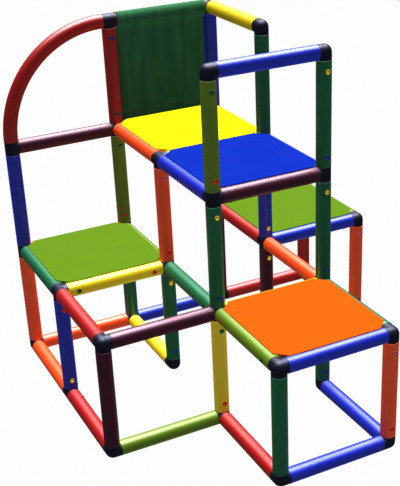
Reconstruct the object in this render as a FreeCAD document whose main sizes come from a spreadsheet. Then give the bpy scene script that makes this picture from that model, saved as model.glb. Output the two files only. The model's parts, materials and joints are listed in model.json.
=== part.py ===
"""Modular play climber built from straight plastic tubes, push-in connectors, screws and clip-on platforms.

The tubes stand on a cubic grid. A grid place (i, j, k) is i cells to the right, j cells back and k cells up.
The row frame has its origin under the middle of the footprint, on the floor, with +X right, +Y back and +Z up.
Each kind of piece is drawn once and then linked to its places on the grid.
"""
import FreeCAD, Part
import Sketcher
import functools
import os
import re

Vector = FreeCAD.Vector

DIMENSIONS = (
    ("pitch", 400, "from one grid place to the next"),
    ("half_cells", 1.5, "cells from the left or front grid plane to the middle"),
    ("tube_radius", 25, "outside radius of tubes"),
    ("hub_radius", 24.7, "outside radius of hubs"),
    ("tube_bore", 22, "inside radius of a tube"),
    ("rim", 0.8, "chamfer where a tube meets a hub"),
    ("hub_reach", 25, "from a grid place to a tube's end"),
    ("arm_bore", 16, "radius of the hollow in an arm"),
    ("hub_core", 18, "from a grid place to the bottom of an arm's hollow"),
    ("hub_root", 23, "radius of a side arm where it starts, at its grid place"),
    ("root_length", 5, "from a grid place to where a side arm has its full radius"),
    ("hub_ball", 24.5, "radius of the ball that rounds a connector's free corner"),
    ("spigot_radius", 21.85, "outside radius of a connector's arm"),
    ("spigot_reach", 80, "from a grid place to an arm's tip"),
    ("spigot_lead", 3, "length of the taper at an arm's tip"),
    ("spigot_tip", 20.2, "radius of an arm at its tip"),
    ("arch_root", 21.7, "radius of an arch arm where it leaves the hub"),
    ("arch_tip", 17.6, "radius of an arch arm at its tip"),
    ("arch_bore", 12, "radius of the hollow in an arch arm"),
    ("arch_offset", 1.64, "how far the arch has curved away at its screw"),
    ("station", 60, "from a grid place to a screw's axis"),
    ("shank_radius", 5.9, "radius of a screw's shank"),
    ("shank_tip", 4.2, "radius of a screw's tip"),
    ("shank_end", 8, "from the tube's axis to the screw's tip"),
    ("shank_top", 22.4, "from the tube's axis to the root of the head"),
    ("head_radius", 8.5, "radius of a screw's head"),
    ("head_seat", 24.4, "from the tube's axis to the head's rim"),
    ("head_edge", 25.3, "from the tube's axis to the top of the rim"),
    ("head_top", 26.2, "from the tube's axis to the top of the head"),
    ("head_flat", 6.9, "radius of the flat top of the head"),
    ("socket_radius", 4.6, "centre to corner of the hexagon socket"),
    ("socket_depth", 6, "depth of the hexagon socket"),
    ("thread_hole", 6, "radius of a screw hole in a connector's arm"),
    ("tube_hole", 6.2, "radius of a screw hole in a tube"),
    ("seat_gap", 0.12, "space between a head and its countersink"),
    ("deck_gap", 1.05, "from a tube's crest to a platform's underside"),
    ("deck_thick", 3, "thickness of a platform's top"),
    ("deck_inset", 1, "from the grid plane to a platform's edge"),
    ("deck_cut", 38, "corner cut of a platform"),
    ("deck_edge", 1, "chamfer along a platform's top edge"),
    ("skirt_face", 27, "from the grid plane to the skirt's outer face"),
    ("skirt_thick", 2.5, "thickness of the skirt"),
    ("skirt_drop", 28, "depth of the skirt below the top"),
    ("rib_thick", 2, "thickness of a stiffening rib"),
    ("rib_drop", 15, "depth of a stiffening rib"),
    ("rib_step", 85, "from one stiffening rib to the next"),
    ("root", 0.5, "how far the skirt and ribs reach up into the plate"),
    ("clip_bore", 25.15, "inside radius of a clip"),
    ("clip_outer", 28.4, "outside radius of a clip"),
    ("clip_start", 3, "degrees from the tube's crest to a clip's upper edge"),
    ("clip_wrap", 125, "degrees that a clip reaches round its tube"),
    ("clip_width", 36, "length of a clip along its tube"),
    ("clip_offset", 100, "from a platform's middle line to a clip's middle"),
    ("cloth_side", 26.5, "from the grid plane to the cloth's side edge"),
    ("cloth_bore", 25.1, "inside radius of a sleeve"),
    ("cloth_lower", 25.9, "outside radius of the lower sleeve"),
    ("cloth_upper", 26.4, "outside radius of the upper sleeve"),
    ("cloth_thick", 1.6, "thickness of the hanging cloth"),
    ("cloth_notch", 19, "half length of the sleeve's notch at a clip"),
    ("cloth_eyelet", 9.5, "radius of the sleeve's hole at a screw"),
)

AXES = {
    "+X": Vector(1, 0, 0), "-X": Vector(-1, 0, 0),
    "+Y": Vector(0, 1, 0), "-Y": Vector(0, -1, 0),
    "+Z": Vector(0, 0, 1), "-Z": Vector(0, 0, -1),
}

# node, colour, then (i, j, k), the way the tube runs and the way its screws face, for each tube in the node
TUBES = (
    ("front_step_leg_left", "green", ((1, 0, 0), "+Z", "+Y")),
    ("front_step_leg_right", "orange", ((2, 0, 0), "+Z", "-Y")),
    ("left_box_leg_front", "plum", ((0, 1, 0), "+Z", "+Y")),
    ("tower_leg_front_left", "yellow", ((1, 1, 0), "+Z", "-Y")),
    ("tower_leg_front_right", "green", ((2, 1, 0), "+Z", "-Y")),
    ("left_step_leg_front", "blue", ((0, 2, 0), "+Z", "-Y")),
    ("left_step_leg_rear", "orange", ((0, 3, 0), "+Z", "+Y")),
    ("tower_legs_left", "green", ((1, 2, 0), "+Z", "-Y"), ((1, 3, 0), "+Z", "+Y")),
    ("tower_leg_middle_right", "plum", ((2, 2, 0), "+Z", "-Y")),
    ("tower_leg_rear_right", "plum", ((2, 3, 0), "+Z", "+Y")),
    ("right_step_leg_front", "orange", ((3, 2, 0), "+Z", "-Y")),
    ("right_step_leg_rear", "red", ((3, 3, 0), "+Z", "+Y")),
    ("tower_posts_front", "green", ((1, 1, 1), "+Z", "-Y"), ((2, 1, 1), "+Z", "-Y")),
    ("tower_post_middle_left", "orange", ((1, 2, 1), "+Z", "-Y")),
    ("tower_post_middle_right", "blue", ((2, 2, 1), "+Z", "-Y")),
    ("tower_post_rear_left", "lime", ((1, 3, 1), "+Z", "-Y")),
    ("tower_post_rear_right", "yellow", ((2, 3, 1), "+Z", "+Y")),
    ("arch_post", "blue", ((0, 3, 1), "+Z", "+Y")),
    ("handrail_post_left", "lime", ((1, 1, 2), "+Z", "-Y")),
    ("handrail_posts_right", "green", ((2, 1, 2), "+Z", "-Y"), ((2, 2, 2), "+Z", "+Y")),
    ("backrest_post_left", "red", ((1, 3, 2), "+Z", "-Y")),
    ("backrest_post_right", "blue", ((2, 3, 2), "+Z", "+Y")),
    ("floor_rails_orange", "orange", ((0, 2, 0), "+Y", "+X"), ((0, 3, 0), "+X", "+Y")),
    ("floor_rails_red", "red", ((0, 1, 0), "+Y", "+X"), ((1, 0, 0), "+Y", "+X"), ((2, 3, 0), "+X", "+Y")),
    ("floor_rails_blue", "blue", ((1, 3, 0), "+X", "+Y"), ((1, 0, 0), "+X", "+Y"), ((2, 0, 0), "+Y", "+X")),
    ("floor_rails_yellow", "yellow", ((1, 2, 0), "+Y", "+X"), ((2, 2, 0), "+X", "+Y")),
    ("floor_rails_lime", "lime", ((0, 1, 0), "+X", "+Y"), ((3, 2, 0), "+Y", "+X")),
    ("step_rails_green", "green", ((0, 2, 1), "+Y", "-Z"), ((1, 1, 1), "+Y", "+X"), ((2, 0, 1), "+Y", "-Z")),
    ("step_rails_yellow", "yellow", ((1, 2, 1), "-X", "-Y"), ((1, 1, 1), "+X", "-Z")),
    ("step_rails_lime", "lime", ((1, 1, 1), "-Y", "-X"), ((1, 2, 1), "+Y", "-Z"), ((3, 2, 1), "+Y", "-Z")),
    ("step_rails_red", "red", ((0, 1, 1), "+Y", "+X"), ((2, 2, 1), "+Y", "-Z")),
    ("step_rails_plum", "plum", ((0, 1, 1), "+X", "+Y"), ((2, 3, 1), "+X", "-Z")),
    ("step_rails_blue", "blue", ((1, 0, 1), "+X", "-Z"), ((2, 2, 1), "+X", "-Z")),
    ("step_rails_orange", "orange", ((2, 1, 1), "+Y", "+X"), ((0, 3, 1), "+X", "-Z")),
    ("deck_rails_plum", "plum", ((0, 3, 2), "+X", "+Y"), ((1, 1, 2), "+X", "-Z")),
    ("deck_rail_orange", "orange", ((1, 2, 2), "+Y", "-Z")),
    ("deck_rails_blue", "blue", ((1, 1, 2), "+Y", "-Z"), ((2, 1, 2), "+Y", "-Z")),
    ("deck_rails_yellow", "yellow", ((2, 2, 2), "+Y", "-Z"), ((1, 2, 2), "+X", "-Z")),
    ("handrail_front", "blue", ((1, 1, 3), "+X", "+Y")),
    ("handrail_side", "yellow", ((2, 2, 3), "+Y", "+X")),
    ("backrest_rails", "red", ((1, 3, 2), "+X", "+Y"), ((1, 3, 3), "+X", "+Y")),
)
ARCH_PLACE = (0, 3, 2)
UNDER_PLATE = "tube_radius + deck_gap + root"

# screw colours at the start and at the end of a tube of each colour
SCREW_PAIRS = {
    "green": ("blue", "yellow"), "lime": ("red", "green"), "orange": ("red", "plum"),
    "yellow": ("red", "green"), "blue": ("yellow", "red"), "red": ("green", "blue"),
    "plum": ("blue", "yellow"),
}

# kind of connector, the arms it has as drawn, which of them starts a straight run, and whether a ball rounds it
CONNECTORS = (
    ("elbow", ("+X", "+Z"), None, True),
    ("corner", ("+X", "+Y", "+Z"), None, True),
    ("tee", ("+X", "-X", "+Z"), "+X", False),
    ("four_way", ("+X", "-X", "+Y", "+Z"), "+X", False),
    ("five_way", ("+X", "-X", "+Y", "-Y", "+Z"), "+X", False),
    ("six_way", ("+X", "-X", "+Y", "-Y", "+Z", "-Z"), "+X", False),
)
ARCH_TEE = ("arch_tee", ("+Z", "-Z", "+X"), "+Z", False)
# outlines of an arm from its hub to its tip, as (radius, distance from the grid place)
STRAIGHT_END = (
    ("hub_radius", "hub_reach - rim"), ("hub_radius - rim", "hub_reach"),
    ("spigot_radius", "hub_reach"), ("spigot_radius", "spigot_reach - spigot_lead"),
    ("spigot_tip", "spigot_reach"), ("0", "spigot_reach"))
ARCH_END = (
    ("hub_radius", "hub_reach - rim"), ("hub_radius - rim", "hub_reach"),
    ("arch_root", "hub_reach"), ("arch_tip", "spigot_reach"), ("0", "spigot_reach"))
CONNECTOR_NODES = {
    "elbow": "elbow_connectors", "corner": "corner_connectors", "tee": "tee_connectors",
    "four_way": "four_way_connectors", "five_way": "five_way_connectors",
    "six_way": "six_way_connector", "arch_tee": "arch_tee_connectors",
}
ARCH_ENDS = (((0, 3, 2), "+Z", "+X"), ((1, 3, 3), "-X", "-Z"))

# platform node and the grid place at its front left corner
PLATFORMS = (
    ("front_step_platform", (1, 0, 1)),
    ("left_step_platform", (0, 2, 1)),
    ("right_step_platform", (2, 2, 1)),
    ("tower_front_platform", (1, 1, 2)),
    ("tower_rear_platform", (1, 2, 2)),
)

doc = FreeCAD.newDocument("tube_climber")


def make_sizes():
    """The driving dimensions, one row each: name, number, meaning."""
    table = doc.addObject("Spreadsheet::Sheet", "Sizes")
    for row, (name, value, meaning) in enumerate(DIMENSIONS, start=1):
        table.set(f"A{row}", name)
        table.set(f"B{row}", str(value))
        table.set(f"C{row}", meaning)
        table.setAlias(f"B{row}", name)
    doc.recompute()
    return table


sizes = make_sizes()


def size(name):
    """A driving dimension's value."""
    return float(sizes.get(name))


def words(formula):
    """A formula over the driving dimensions as an expression that names the sheet."""
    return re.sub(r"[a-z]+(_[a-z]+)*", lambda word: "Sizes." + word[0], formula)


@functools.cache
def value(formula):
    """The number that a formula gives, worked out in a spare cell of the sheet."""
    sizes.set("E1", "=" + formula)
    sizes.recompute()
    return float(sizes.get("E1"))


def bind(thing, **formulas):
    """Binds properties of an object to formulas over the driving dimensions."""
    for prop, formula in formulas.items():
        thing.setExpression(prop.replace("__", "."), words(formula))


def sketch_on(body, name, role, lift=None):
    """A sketch on one of the body's origin planes, lifted off it by a formula."""
    sketch = body.newObject("Sketcher::SketchObject", name)
    plane = next(f for f in body.Origin.OriginFeatures if f.Role == role)
    sketch.AttachmentSupport = [(plane, "")]
    sketch.MapMode = "FlatFace"
    if lift:
        bind(sketch, AttachmentOffset__Base__z=lift)
    return sketch


def pin_point(sketch, geometry, end, x, y):
    """Places one point of a sketch by two formulas."""
    for kind, formula in (("DistanceX", x), ("DistanceY", y)):
        at = sketch.addConstraint(
            Sketcher.Constraint(kind, -1, 1, geometry, end, value(formula)))
        sketch.setExpression(f"Constraints[{at}]", words(formula))


def draw_outline(sketch, corners):
    """A closed outline of straight lines through corners given as pairs of formulas."""
    points = [Vector(value(x), value(y), 0) for x, y in corners]
    first = sketch.GeometryCount
    count = len(points)
    for n in range(count):
        sketch.addGeometry(Part.LineSegment(points[n], points[(n + 1) % count]), False)
    for n in range(count):
        after = first + (n + 1) % count
        sketch.addConstraint(Sketcher.Constraint("Coincident", first + n, 2, after, 1))
    for n, (x, y) in enumerate(corners):
        pin_point(sketch, first + n, 1, x, y)


def draw_circle(sketch, radius, x="0", y="0"):
    """A circle with its centre and radius given as formulas."""
    centre = Vector(value(x), value(y), 0)
    at = sketch.addGeometry(Part.Circle(centre, Vector(0, 0, 1), value(radius)), False)
    pin_point(sketch, at, 3, x, y)
    bound = sketch.addConstraint(Sketcher.Constraint("Radius", at, value(radius)))
    sketch.setExpression(f"Constraints[{bound}]", words(radius))


def turned(name, corners):
    """A body made by turning an outline, given as (radius, height) formulas, about Z."""
    body = doc.addObject("PartDesign::Body", name)
    sketch = sketch_on(body, name + "_outline", "XZ_Plane")
    draw_outline(sketch, corners)
    turn = body.newObject("PartDesign::Revolution", name + "_turned")
    turn.Profile = sketch
    turn.ReferenceAxis = (sketch, ["V_Axis"])
    turn.Angle = 360
    return body


def padded(body, name, sketch, length, down=False):
    """Raises a sketch by a length, up or down."""
    pad = body.newObject("PartDesign::Pad", name)
    pad.Profile = sketch
    pad.Reversed = down
    bind(pad, Length=length)
    return pad


def frame_of(along, facing, base=Vector()):
    """The placement that carries local +Z to along and local -Y to facing."""
    y_axis = AXES[facing] * -1
    z_axis = AXES[along]
    turn = FreeCAD.Rotation(y_axis.cross(z_axis), y_axis, z_axis, "ZYX")
    return FreeCAD.Placement(base, turn)


def grid_formulas(place, shift=None):
    """Formulas for a grid place in the row frame, shifted by {axis letter: formula}."""
    i, j, k = place
    spots = {
        "x": f"({i} - half_cells) * pitch",
        "y": f"({j} - half_cells) * pitch",
        "z": f"{k} * pitch + tube_radius",
    }
    for letter, formula in (shift or {}).items():
        spots[letter] += f" + {formula}"
    return spots


def linked(prototype, name, placement, spots):
    """A link to a prototype, turned by a placement and based on formulas."""
    link = doc.addObject("App::Link", name)
    link.setLink(prototype)
    link.Placement = placement
    for letter, formula in spots.items():
        link.setExpression("Placement.Base." + letter, words(formula))
    return link


def gathered(label, members):
    """One sub-part: the separate pieces that share a node."""
    group = doc.addObject("Part::Compound", label)
    group.Label = label
    group.Links = members
    return group


def fused(name, members):
    """Several shapes joined into one solid."""
    joined = doc.addObject("Part::MultiFuse", name)
    joined.Shapes = members
    joined.Refine = True
    return joined


def cut(name, base, tool):
    """One shape with another taken out of it."""
    done = doc.addObject("Part::Cut", name)
    done.Base = base
    done.Tool = tool
    return done


def cylinder(name, radius, height, along="+Z", facing="-Y", **spots):
    """A cylinder of formula sizes, standing on a point and pointing along an axis."""
    solid = doc.addObject("Part::Cylinder", name)
    bind(solid, Radius=radius, Height=height)
    solid.Placement = frame_of(along, facing)
    for letter, formula in spots.items():
        solid.setExpression("Placement.Base." + letter, words(formula))
    return solid


def side_of(along):
    """A direction square to a tube, for pieces whose roll doesn't matter."""
    return "-Y" if along[1] != "Y" else "+X"


def make_screw():
    """A short plastic screw along +Z, with the tube's axis at its origin."""
    body = turned("screw", (
        ("0", "shank_end"), ("shank_tip", "shank_end"),
        ("shank_radius", "shank_end + shank_radius - shank_tip + 1"),
        ("shank_radius", "shank_top"), ("head_radius", "head_seat"),
        ("head_radius", "head_edge"), ("head_flat", "head_top"), ("0", "head_top")))
    socket = sketch_on(body, "socket_outline", "XY_Plane", "head_top")
    half, side = "socket_radius / 2", "socket_radius * 0.8660254"
    draw_outline(socket, (
        ("socket_radius", "0"), (half, side), ("-" + half, side),
        ("-socket_radius", "0"), ("-" + half, "-" + side), (half, "-" + side)))
    pocket = body.newObject("PartDesign::Pocket", "socket")
    pocket.Profile = socket
    bind(pocket, Length="socket_depth")
    return body


def make_screw_seat():
    """What a screw takes out of a tube's wall: a countersunk hole along +Z."""
    return turned("screw_seat", (
        ("0", "arm_bore"), ("tube_hole", "arm_bore"), ("tube_hole", "shank_top - seat_gap"),
        ("head_radius + seat_gap", "head_seat - seat_gap"),
        ("head_radius + seat_gap", "tube_radius + 3"), ("0", "tube_radius + 3")))


def make_straight_tube(seat):
    """A tube along +Z between two grid places, with its screw holes on the -Y side."""
    far = "pitch - hub_reach"
    blank = turned("tube_blank", (
        ("tube_bore", "hub_reach"), ("tube_radius - rim", "hub_reach"),
        ("tube_radius", "hub_reach + rim"), ("tube_radius", far + " - rim"),
        ("tube_radius - rim", far), ("tube_bore", far)))
    seats = [
        linked(seat, f"tube_seat_{n}", frame_of("-Y", "+X"), {"x": "0", "y": "0", "z": spot})
        for n, spot in enumerate(("station", "pitch - station"))
    ]
    return cut("straight_tube", blank, fused("tube_seats", seats))


def make_arch_tube(seat):
    """A quarter-round tube from +Z at the origin to +X one cell up and right, drilled on the +Y side."""
    rings = []
    for name, radius in (("arch_outside", "tube_radius"), ("arch_inside", "tube_bore")):
        ring = doc.addObject("Part::Torus", name)
        bind(ring, Radius1="pitch - hub_reach", Radius2=radius,
             Placement__Base__x="pitch - hub_reach", Placement__Base__z="hub_reach")
        ring.Angle3 = 90
        across = FreeCAD.Rotation(Vector(-1, 0, 0), Vector(0, 0, 1), Vector(0, 1, 0), "XYZ")
        ring.Placement = FreeCAD.Placement(ring.Placement.Base, across)
        rings.append(ring)
    spots = (
        {"x": "arch_offset", "y": "0", "z": "station"},
        {"x": "pitch - station", "y": "0", "z": "pitch - arch_offset"},
    )
    seats = [
        linked(seat, f"arch_seat_{n}", frame_of("+Y", "+X"), spot)
        for n, spot in enumerate(spots)
    ]
    return cut("arch_tube", cut("arch_pipe", *rings), fused("arch_seats", seats))


def below(end):
    """An arm's outline turned to point down."""
    return [(radius, f"-({height})") for radius, height in reversed(end)]


def drill(body, holes):
    """Drills screw holes right across a body, each given as (plane, sideways, height)."""
    for role in sorted({plane for plane, _, _ in holes}):
        name = f"{body.Name}_holes_{role[:2]}"
        sketch = sketch_on(body, name, role)
        for plane, sideways, height in holes:
            if plane == role:
                draw_circle(sketch, "thread_hole", sideways, height)
        pocket = body.newObject("PartDesign::Pocket", name + "_drilled")
        pocket.Profile = sketch
        pocket.Type = 1
        pocket.Midplane = True


def make_side_arm():
    """A connector's arm along +Z from its grid place, which joins a run or other side arms."""
    body = turned("side_arm", [
        ("0", "0"), ("hub_root", "0"), ("hub_radius", "root_length"), *STRAIGHT_END])
    drill(body, [("XZ_Plane", "0", "station"), ("YZ_Plane", "0", "station")])
    return body


def make_run():
    """Two arms in line through a hub, along Z."""
    body = turned("run", [*below(STRAIGHT_END), *STRAIGHT_END])
    drill(body, [
        (plane, "0", height)
        for plane in ("XZ_Plane", "YZ_Plane") for height in ("station", "-station")])
    return body


def make_arch_run():
    """Two arms in line along Z, the upper one slim to enter the curved tube, which bends towards +X."""
    body = turned("arch_run", [*below(STRAIGHT_END), *ARCH_END])
    drill(body, [
        ("XZ_Plane", "0", "-station"), ("YZ_Plane", "0", "-station"),
        ("XZ_Plane", "arch_offset", "station")])
    return body


def hollow(name, radius, way):
    """What is taken out of an arm: a blind bore from its tip to the hub's core."""
    core = AXES[way]
    spots = {
        letter: f"{round(getattr(core, letter))} * hub_core"
        for letter in "xyz"
    }
    return cylinder(name, radius, "spigot_reach - hub_core + 1", way, side_of(way), **spots)


def make_connector(kind, arms, run_along, rounded, side_arm, run, bores):
    """A connector: a run, if it has one, and side arms joined at the grid place, then bored from each tip."""
    still = {"x": "0", "y": "0", "z": "0"}
    in_line = (run_along, opposite(run_along)) if run_along else ()
    solids = [
        linked(side_arm, f"{kind}_arm_{n}", frame_of(way, side_of(way)), still)
        for n, way in enumerate(arms) if way not in in_line
    ]
    if run_along:
        solids.append(linked(run, kind + "_run", frame_of(run_along, side_of(run_along)), still))
    if rounded:
        ball = doc.addObject("Part::Sphere", kind + "_ball")
        bind(ball, Radius="hub_ball")
        solids.append(ball)
    hollows = [
        hollow(f"{kind}_hollow_{n}", bores.get(way, "arm_bore"), way) for n, way in enumerate(arms)
    ]
    return cut(kind, fused(kind + "_solid", solids), fused(kind + "_hollows", hollows))


def make_platform():
    """A clip-on platform about its middle, at the height of the tubes' axes."""
    body = doc.addObject("PartDesign::Body", "platform_top")
    add_plate(body)
    add_skirt(body)
    add_ribs(body)
    ring = cut("clip", clip_sector("clip_outside", "clip_outer"), clip_sector("clip_inside", "clip_bore"))
    clips = [clip_link(ring, turn, shift) for turn in range(4) for shift in (-1, 1)]
    return fused("platform", [body] + clips)


def add_plate(body):
    """The platform's flat top: a square with cut corners and a bevelled rim."""
    outline = sketch_on(body, "platform_outline", "XY_Plane", "tube_radius + deck_gap")
    half = "(pitch / 2 - deck_inset)"
    short = "(pitch / 2 - deck_inset - deck_cut)"
    draw_outline(outline, (
        (half, short), (short, half), ("-" + short, half), ("-" + half, short),
        ("-" + half, "-" + short), ("-" + short, "-" + half), (short, "-" + half),
        (half, "-" + short)))
    plate = padded(body, "platform_plate", outline, "deck_thick")
    doc.recompute()
    crest = max(edge.BoundBox.ZMin for edge in plate.Shape.Edges)
    rim = [
        f"Edge{n}" for n, edge in enumerate(plate.Shape.Edges, start=1)
        if edge.BoundBox.ZMin > crest - 0.01
    ]
    bevel = body.newObject("PartDesign::Chamfer", "platform_bevel")
    bevel.Base = (plate, rim)
    bind(bevel, Size="deck_edge")


def add_skirt(body):
    """The wall under the platform's top, just inside the tubes."""
    skirt = sketch_on(body, "skirt_outline", "XY_Plane", UNDER_PLATE)
    for reach in ("(pitch / 2 - skirt_face)", "(pitch / 2 - skirt_face - skirt_thick)"):
        draw_outline(skirt, (
            (reach, reach), ("-" + reach, reach), ("-" + reach, "-" + reach), (reach, "-" + reach)))
    padded(body, "skirt", skirt, "skirt_drop", down=True)


def add_ribs(body):
    """A lattice of stiffening ribs under the platform's top."""
    reach = "(pitch / 2 - skirt_face - skirt_thick / 2)"
    for n in (-1, 0, 1):
        low = f"{n} * rib_step - rib_thick / 2"
        high = f"{n} * rib_step + rib_thick / 2"
        strip = (("-" + reach, low), (reach, low), (reach, high), ("-" + reach, high))
        strips = {"along": strip, "across": [(y, x) for x, y in strip]}
        for way, corners in strips.items():
            rib = sketch_on(body, f"rib_{way}_{n + 1}", "XY_Plane", UNDER_PLATE)
            draw_outline(rib, corners)
            padded(body, f"rib_{way}_{n + 1}_wall", rib, "rib_drop", down=True)


def clip_sector(name, radius):
    """A sector of a cylinder that reaches from near the tube's crest round its inner side."""
    sector = doc.addObject("Part::Cylinder", name)
    bind(sector, Radius=radius, Height="clip_width", Angle="clip_wrap")
    return sector


def clip_link(ring, turn, shift):
    """One clip on side `turn` of the platform, to one side of its middle line."""
    around = FreeCAD.Rotation(Vector(0, 0, 1), 90 * turn)
    along = around.multVec(Vector(0, -1, 0))
    edge = around.multVec(Vector(1, 0, 0))
    # local X points at the tube's crest, and the sector turns from it towards the platform's middle
    upright = FreeCAD.Rotation(Vector(0, 0, 1), edge * -1, along, "XZY")
    start = FreeCAD.Rotation(Vector(0, 0, 1), size("clip_start"))
    spots = {"z": "0"}
    for letter in "xy":
        out = round(getattr(edge, letter))
        run = round(getattr(along, letter))
        spots[letter] = f"{out} * pitch / 2 + {run} * ({shift} * clip_offset - clip_width / 2)"
    return linked(ring, f"clip_{turn}_{shift + 1}", FreeCAD.Placement(Vector(), upright * start), spots)


def sleeve(name, outer, height):
    """A round sleeve of cloth about a rail that runs along +X, at a height."""
    spots = {"x": "cloth_side", "y": "0", "z": height}
    length = "pitch - 2 * cloth_side"
    return cut(
        name,
        cylinder(name + "_outside", outer, length, "+X", "-Y", **spots),
        cylinder(name + "_inside", "cloth_bore", length, "+X", "-Y", **spots))


def box(name, placed, **formulas):
    """A box whose sizes and corner are formulas."""
    block = doc.addObject("Part::Box", name)
    bind(block, **formulas)
    for letter, formula in placed.items():
        block.setExpression("Placement.Base." + letter, words(formula))
    return block


def make_backrest_cloth():
    """The cloth that hangs between two rails, from the grid place at its lower left."""
    sheet_part = box(
        "cloth_sheet",
        {"x": "cloth_side", "y": "-cloth_thick / 2", "z": "cloth_lower - 0.4"},
        Length="pitch - 2 * cloth_side", Width="cloth_thick",
        Height="pitch - cloth_lower - cloth_upper + 0.8")
    cloth = fused("cloth_whole", [
        sheet_part, sleeve("lower_sleeve", "cloth_lower", "0"),
        sleeve("upper_sleeve", "cloth_upper", "pitch")])
    openings = []
    for n, middle in enumerate(("pitch / 2 - clip_offset", "pitch / 2 + clip_offset")):
        openings.append(box(
            f"clip_notch_{n}",
            {"x": middle + " - cloth_notch", "y": "-clip_outer - 1", "z": "-clip_outer"},
            Length="2 * cloth_notch", Width="clip_outer + 0.4", Height="2 * clip_outer + 1"))
    for n, (x, z) in enumerate(
            (x, z) for z in ("0", "pitch") for x in ("station", "pitch - station")):
        openings.append(cylinder(
            f"eyelet_{n}", "cloth_eyelet", "2 * tube_radius", "+Y", "+X", x=x, y="0", z=z))
    return cut("backrest_cloth_piece", cloth, fused("cloth_openings", openings))


def place_tubes(tube, screw):
    """Links every straight tube and its two screws. Gives the screws by colour and each place's arms."""
    screws, arms = {}, {}
    for node, colour, *members in TUBES:
        links = []
        for n, (place, along, facing) in enumerate(members):
            links.append(linked(
                tube, f"{node}_{n}", frame_of(along, facing), grid_formulas(place)))
            letter, sign = along[1].lower(), along[0]
            ends = (f"{sign} station", f"{sign} (pitch - station)")
            for end, (formula, screw_colour) in enumerate(zip(ends, SCREW_PAIRS[colour])):
                spots = grid_formulas(place)
                spots[letter] += " " + formula
                screws.setdefault(screw_colour, []).append(linked(
                    screw, f"{node}_{n}_screw_{end}", frame_of(facing, along), spots))
            far = tuple(round(a + b) for a, b in zip(place, AXES[along]))
            arms.setdefault(place, set()).add(along)
            arms.setdefault(far, set()).add(opposite(along))
        gathered(node, links)
    return screws, arms


def opposite(way):
    """The direction that points the other way."""
    return {"+": "-", "-": "+"}[way[0]] + way[1]


def place_arch(arch, screw, screws, arms):
    """Links the arch tube and its screws."""
    gathered("arch_tube_curved", [
        linked(arch, "arch_in_place", FreeCAD.Placement(), grid_formulas(ARCH_PLACE))])
    ends = (
        {"x": "arch_offset", "z": "station"},
        {"x": "(pitch - station)", "z": "(pitch - arch_offset)"},
    )
    for n, (shift, colour) in enumerate(zip(ends, SCREW_PAIRS["red"])):
        screws[colour].append(linked(
            screw, f"arch_screw_{n}", frame_of("+Y", "+Z"), grid_formulas(ARCH_PLACE, shift)))
    for place, way, _ in ARCH_ENDS:
        arms.setdefault(place, set()).add(way)


def turn_to(drawn, wanted):
    """The rotation that carries one set of arms onto another, or None."""
    for z_axis in AXES.values():
        for x_axis in AXES.values():
            if abs(z_axis.dot(x_axis)) > 0.5:
                continue
            turn = FreeCAD.Rotation(x_axis, z_axis.cross(x_axis), z_axis, "ZXY")
            carried = {way_name(turn.multVec(AXES[way])) for way in drawn}
            if carried == set(wanted):
                return turn
    return None


def way_name(vector):
    """The name of the axis direction nearest to a vector."""
    return max(AXES, key=lambda name: AXES[name].dot(vector))


def place_connectors(prototypes, arch_tee, arms):
    """Links the right connector, turned the right way, to every grid place that has arms."""
    nodes = {kind: [] for kind in CONNECTOR_NODES}
    arch_places = {place for place, _, _ in ARCH_ENDS}
    for place, ways in sorted(arms.items()):
        if place in arch_places:
            continue
        for kind, drawn, _, _ in CONNECTORS:
            turn = turn_to(drawn, ways) if len(drawn) == len(ways) else None
            if turn:
                name = f"{kind}_{place[0]}{place[1]}{place[2]}"
                nodes[kind].append(linked(
                    prototypes[kind], name, FreeCAD.Placement(Vector(), turn),
                    grid_formulas(place)))
                break
        else:
            raise ValueError(f"no connector fits {place} with arms {sorted(ways)}")
    for place, way, bend in ARCH_ENDS:
        z_axis, x_axis = AXES[way], AXES[bend]
        turn = FreeCAD.Rotation(x_axis, z_axis.cross(x_axis), z_axis, "ZXY")
        nodes["arch_tee"].append(linked(
            arch_tee, f"arch_tee_{place[0]}{place[1]}{place[2]}",
            FreeCAD.Placement(Vector(), turn), grid_formulas(place)))
    for kind, links in nodes.items():
        gathered(CONNECTOR_NODES[kind], links)


def place_platforms(platform):
    """Links the five platforms, each to the middle of its cell."""
    for node, place in PLATFORMS:
        spots = grid_formulas(place, {"x": "pitch / 2", "y": "pitch / 2"})
        gathered(node, [linked(platform, node + "_piece", FreeCAD.Placement(), spots)])


def check_and_write():
    """Checks every object, then writes each sub-part to its own STEP file."""
    doc.recompute()
    for thing in doc.Objects:
        if "Invalid" in thing.State or "Error" in thing.State:
            raise ValueError(f"{thing.Name} failed: {thing.State}")
    groups = [thing for thing in doc.Objects if thing.TypeId == "Part::Compound"]
    os.makedirs("parts", exist_ok=True)
    for group in groups:
        shape = group.Shape
        if shape.isNull() or not shape.isValid() or not shape.Solids:
            raise ValueError(f"{group.Label} has no valid solid")
        shape.exportStep(os.path.join("parts", group.Label + ".step"))
    print(len(groups), "nodes,", sum(len(group.Shape.Solids) for group in groups), "solids")


def main():
    screw = make_screw()
    seat = make_screw_seat()
    tube = make_straight_tube(seat)
    arch = make_arch_tube(seat)
    side_arm = make_side_arm()
    run = make_run()
    connectors = {row[0]: make_connector(*row, side_arm, run, {}) for row in CONNECTORS}
    arch_tee = make_connector(*ARCH_TEE, side_arm, make_arch_run(), {"+Z": "arch_bore"})
    platform = make_platform()
    cloth = make_backrest_cloth()
    screws, arms = place_tubes(tube, screw)
    place_arch(arch, screw, screws, arms)
    place_connectors(connectors, arch_tee, arms)
    place_platforms(platform)
    gathered("backrest_cloth", [
        linked(cloth, "cloth_in_place", FreeCAD.Placement(), grid_formulas((1, 3, 2)))])
    for colour, links in screws.items():
        gathered("screws_" + colour, links)
    check_and_write()


main()
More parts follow.
